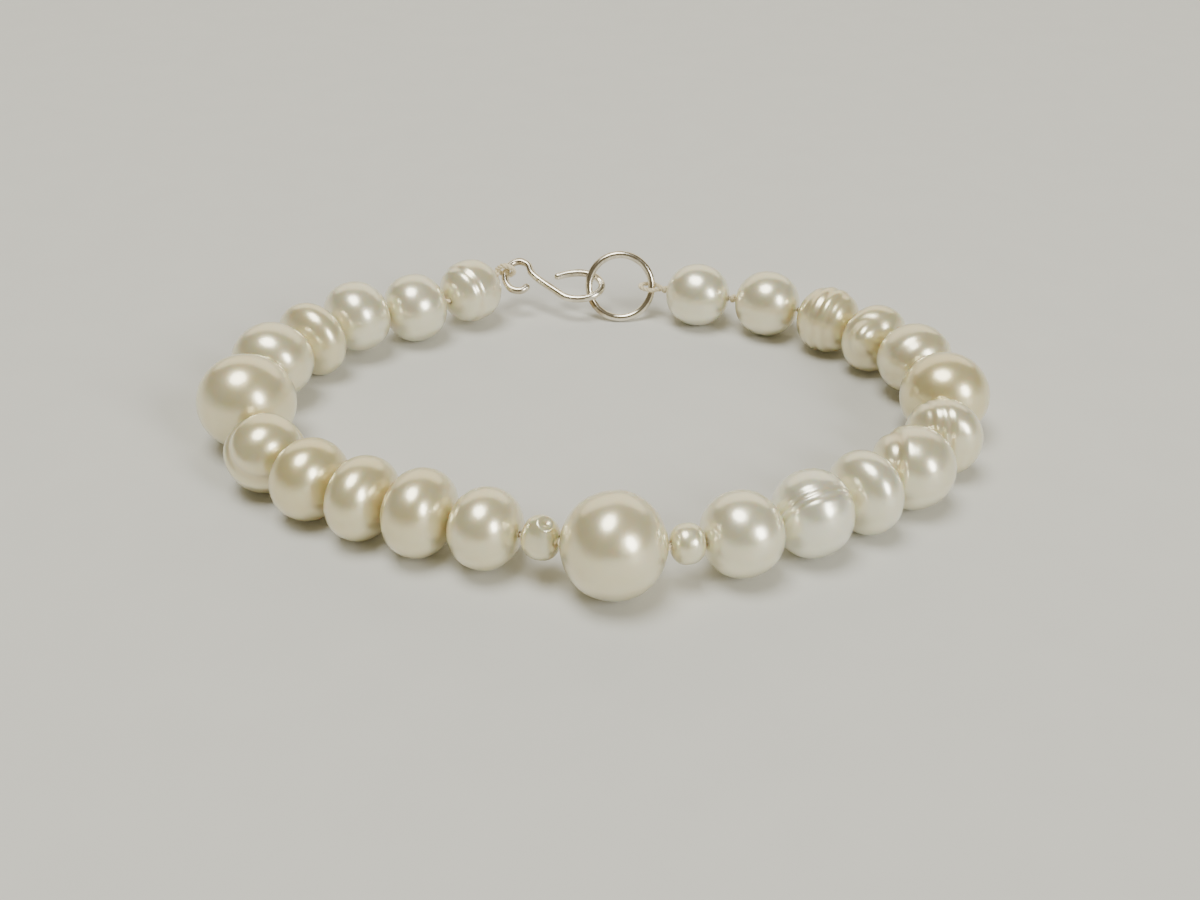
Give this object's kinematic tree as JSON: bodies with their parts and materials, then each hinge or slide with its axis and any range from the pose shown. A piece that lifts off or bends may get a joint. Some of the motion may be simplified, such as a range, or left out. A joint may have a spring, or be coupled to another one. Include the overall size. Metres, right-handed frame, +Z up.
{
  "type": "pearl bracelet",
  "caption": "Closed single-strand bracelet of drilled cream pearls in mixed sizes, with an S-hook and ring clasp in silver wire.",
  "frame": {"origin": "on the table the bracelet lies on, under the middle of its box", "axes": "+X along the longer way of the loop, +Y from the big front pearl towards the clasp, +Z up off the table"},
  "size_m": [0.0794, 0.0606, 0.0097],
  "materials": {
    "pearl": "satin nacre, soft highlights",
    "silver": "polished silver wire",
    "thread": "matte twisted cream thread"
  },
  "bodies": {
    "root": {"pearl_01": "pearl", "pearl_02": "pearl", "pearl_03": "pearl", "pearl_04": "pearl", "pearl_05": "pearl", "pearl_06": "pearl", "pearl_07": "pearl", "pearl_08": "pearl", "pearl_09": "pearl", "pearl_10": "pearl", "pearl_11": "pearl", "pearl_12": "pearl", "pearl_13": "pearl", "pearl_14": "pearl", "pearl_15": "pearl", "pearl_16": "pearl", "pearl_17": "pearl", "pearl_18": "pearl", "pearl_19": "pearl", "pearl_20": "pearl", "pearl_21": "pearl", "pearl_22": "pearl", "pearl_23": "pearl", "pearl_24": "pearl", "pearl_25": "pearl", "s_hook": "silver", "ring": "silver", "thread": "thread"}
  },
  "joints": []
}
